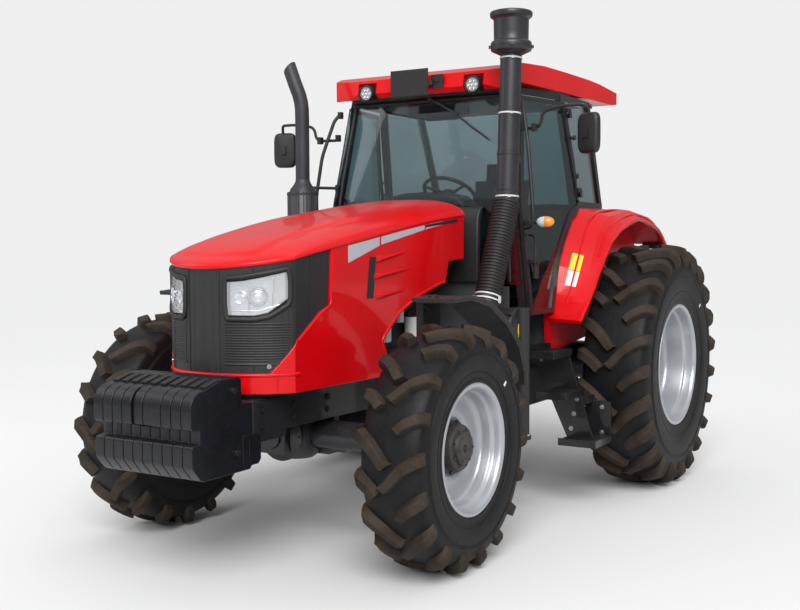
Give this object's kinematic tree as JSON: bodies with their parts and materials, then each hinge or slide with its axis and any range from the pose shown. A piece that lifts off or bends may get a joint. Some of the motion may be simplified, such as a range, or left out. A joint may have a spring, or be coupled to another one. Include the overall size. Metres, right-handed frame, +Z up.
{
  "type": "four-wheel-drive cab tractor, 100 kW class",
  "caption": "Four-wheel-drive farm tractor with glazed cab, long red bonnet, front weights, upright intake and exhaust stacks, lugged tyres and rear three-point linkage.",
  "frame": {"origin": "on the ground below the middle of the overall box", "axes": "+Y towards the rear, +X to the driver's left, +Z up"},
  "size_m": [2.903, 4.9249, 3.23],
  "materials": {
    "body_red": "gloss",
    "black_plastic": "satin",
    "black_paint": "satin",
    "chassis_iron": "satin",
    "engine_iron": "rough",
    "radiator_metal": "satin",
    "wheel_silver": "satin",
    "hub_black": "satin",
    "tyre_rubber": "matte",
    "hose_rubber": "matte",
    "tinted_glass": "gloss",
    "lamp_glass": "gloss",
    "seat_fabric": "matte",
    "exhaust_steel": "matte",
    "bright_steel": "satin"
  },
  "bodies": {
    "chassis": {"air_cleaner": "black_plastic", "battery_box": "black_paint", "cab_floor": "black_plastic", "cab_frame": "black_paint", "cab_lamps": "lamp_glass", "dashboard": "black_plastic", "drawbar": "chassis_iron", "engine": "engine_iron", "exhaust": "exhaust_steel", "front_axle_beam": "chassis_iron", "front_support": "chassis_iron", "front_weights": "chassis_iron", "fuel_tank": "black_paint", "gearbox": "chassis_iron", "intake_hose": "hose_rubber", "intake_stack": "black_plastic", "mirrors": "black_plastic", "operator_seat": "seat_fabric", "plate_holder": "black_plastic", "radiator": "radiator_metal", "rear_axle": "chassis_iron", "rear_fenders": "body_red", "rear_glass": "tinted_glass", "roof": "body_red", "roof_liner": "black_plastic", "steps": "black_paint", "top_link": "bright_steel", "windscreen": "tinted_glass"},
    "bonnet": {"bonnet_lid": "body_red", "bonnet_sides": "body_red", "grille": "black_plastic", "headlamps": "lamp_glass"},
    "left_door": {"door_left": "black_paint", "door_glass_left": "tinted_glass"},
    "right_door": {"door_right": "black_paint", "door_glass_right": "tinted_glass"},
    "left_knuckle": {"knuckle_left": "chassis_iron", "front_fender_left": "black_plastic"},
    "right_knuckle": {"knuckle_right": "chassis_iron", "front_fender_right": "black_plastic"},
    "steering": {"steering_rod": "bright_steel"},
    "front_left_wheel": {"tyre_front_left": "tyre_rubber", "rim_front_left": "wheel_silver", "hub_front_left": "hub_black"},
    "front_right_wheel": {"tyre_front_right": "tyre_rubber", "rim_front_right": "wheel_silver", "hub_front_right": "hub_black"},
    "rear_left_wheel": {"tyre_rear_left": "tyre_rubber", "rim_rear_left": "wheel_silver", "hub_rear_left": "wheel_silver"},
    "rear_right_wheel": {"tyre_rear_right": "tyre_rubber", "rim_rear_right": "wheel_silver", "hub_rear_right": "wheel_silver"},
    "hitch_arms": {"lift_arms": "chassis_iron"},
    "hitch_links": {"lower_links": "chassis_iron"},
    "hitch_rods": {"lift_rods": "chassis_iron"}
  },
  "joints": [
    {"name": "steer_left", "type": "hinge", "parent": "chassis", "child": "left_knuckle", "pos_m": [0.748, -1.1955, 0.665], "axis": [0, 0, 1], "range_deg": [-35, 35]},
    {"name": "steer_right", "type": "hinge", "parent": "chassis", "child": "right_knuckle", "pos_m": [-0.748, -1.1955, 0.665], "axis": [0, 0, 1], "range_deg": [-35, 35]},
    {"name": "steering_slide", "type": "slide", "parent": "chassis", "child": "steering", "axis": [1, 0, 0], "range_m": [-0.11, 0.11]},
    {"name": "front_left_spin", "type": "hinge", "parent": "left_knuckle", "child": "front_left_wheel", "pos_m": [0.9975, -1.1955, 0.665], "axis": [1, 0, 0], "continuous": true},
    {"name": "front_right_spin", "type": "hinge", "parent": "right_knuckle", "child": "front_right_wheel", "pos_m": [-0.9975, -1.1955, 0.665], "axis": [1, 0, 0], "continuous": true},
    {"name": "rear_left_spin", "type": "hinge", "parent": "chassis", "child": "rear_left_wheel", "pos_m": [1.21, 1.4925, 0.87], "axis": [1, 0, 0], "continuous": true},
    {"name": "rear_right_spin", "type": "hinge", "parent": "chassis", "child": "rear_right_wheel", "pos_m": [-1.21, 1.4925, 0.87], "axis": [1, 0, 0], "continuous": true},
    {"name": "bonnet_hinge", "type": "hinge", "parent": "chassis", "child": "bonnet", "pos_m": [0, -0.03, 1.985], "axis": [-1, 0, 0], "range_deg": [0, 50]},
    {"name": "left_door_hinge", "type": "hinge", "parent": "chassis", "child": "left_door", "pos_m": [0.84071, 1.03932, 2.11], "axis": [-0.0602, -0.2104, 0.9758], "range_deg": [0, 45]},
    {"name": "right_door_hinge", "type": "hinge", "parent": "chassis", "child": "right_door", "pos_m": [-0.84071, 1.03932, 2.11], "axis": [-0.0602, 0.2104, -0.9758], "range_deg": [0, 45]},
    {"name": "hitch_lift", "type": "hinge", "parent": "chassis", "child": "hitch_arms", "pos_m": [0, 1.6625, 1.08], "axis": [1, 0, 0], "range_deg": [-12, 40]},
    {"name": "hitch_link_swing", "type": "hinge", "parent": "chassis", "child": "hitch_links", "pos_m": [0, 1.7425, 0.56], "axis": [1, 0, 0], "range_deg": [-12, 40]},
    {"name": "hitch_rod_swing", "type": "hinge", "parent": "hitch_arms", "child": "hitch_rods", "pos_m": [0, 1.9925, 1.02], "axis": [1, 0, 0], "range_deg": [-44, 14]}
  ],
  "couplings": [
    {"joint": "steer_right", "follows": "steer_left", "ratio": 1},
    {"joint": "steering_slide", "follows": "steer_left", "m_per_rad": -0.178},
    {"joint": "hitch_link_swing", "follows": "hitch_lift", "ratio": 0.97},
    {"joint": "hitch_rod_swing", "follows": "hitch_lift", "ratio": -1.079}
  ]
}
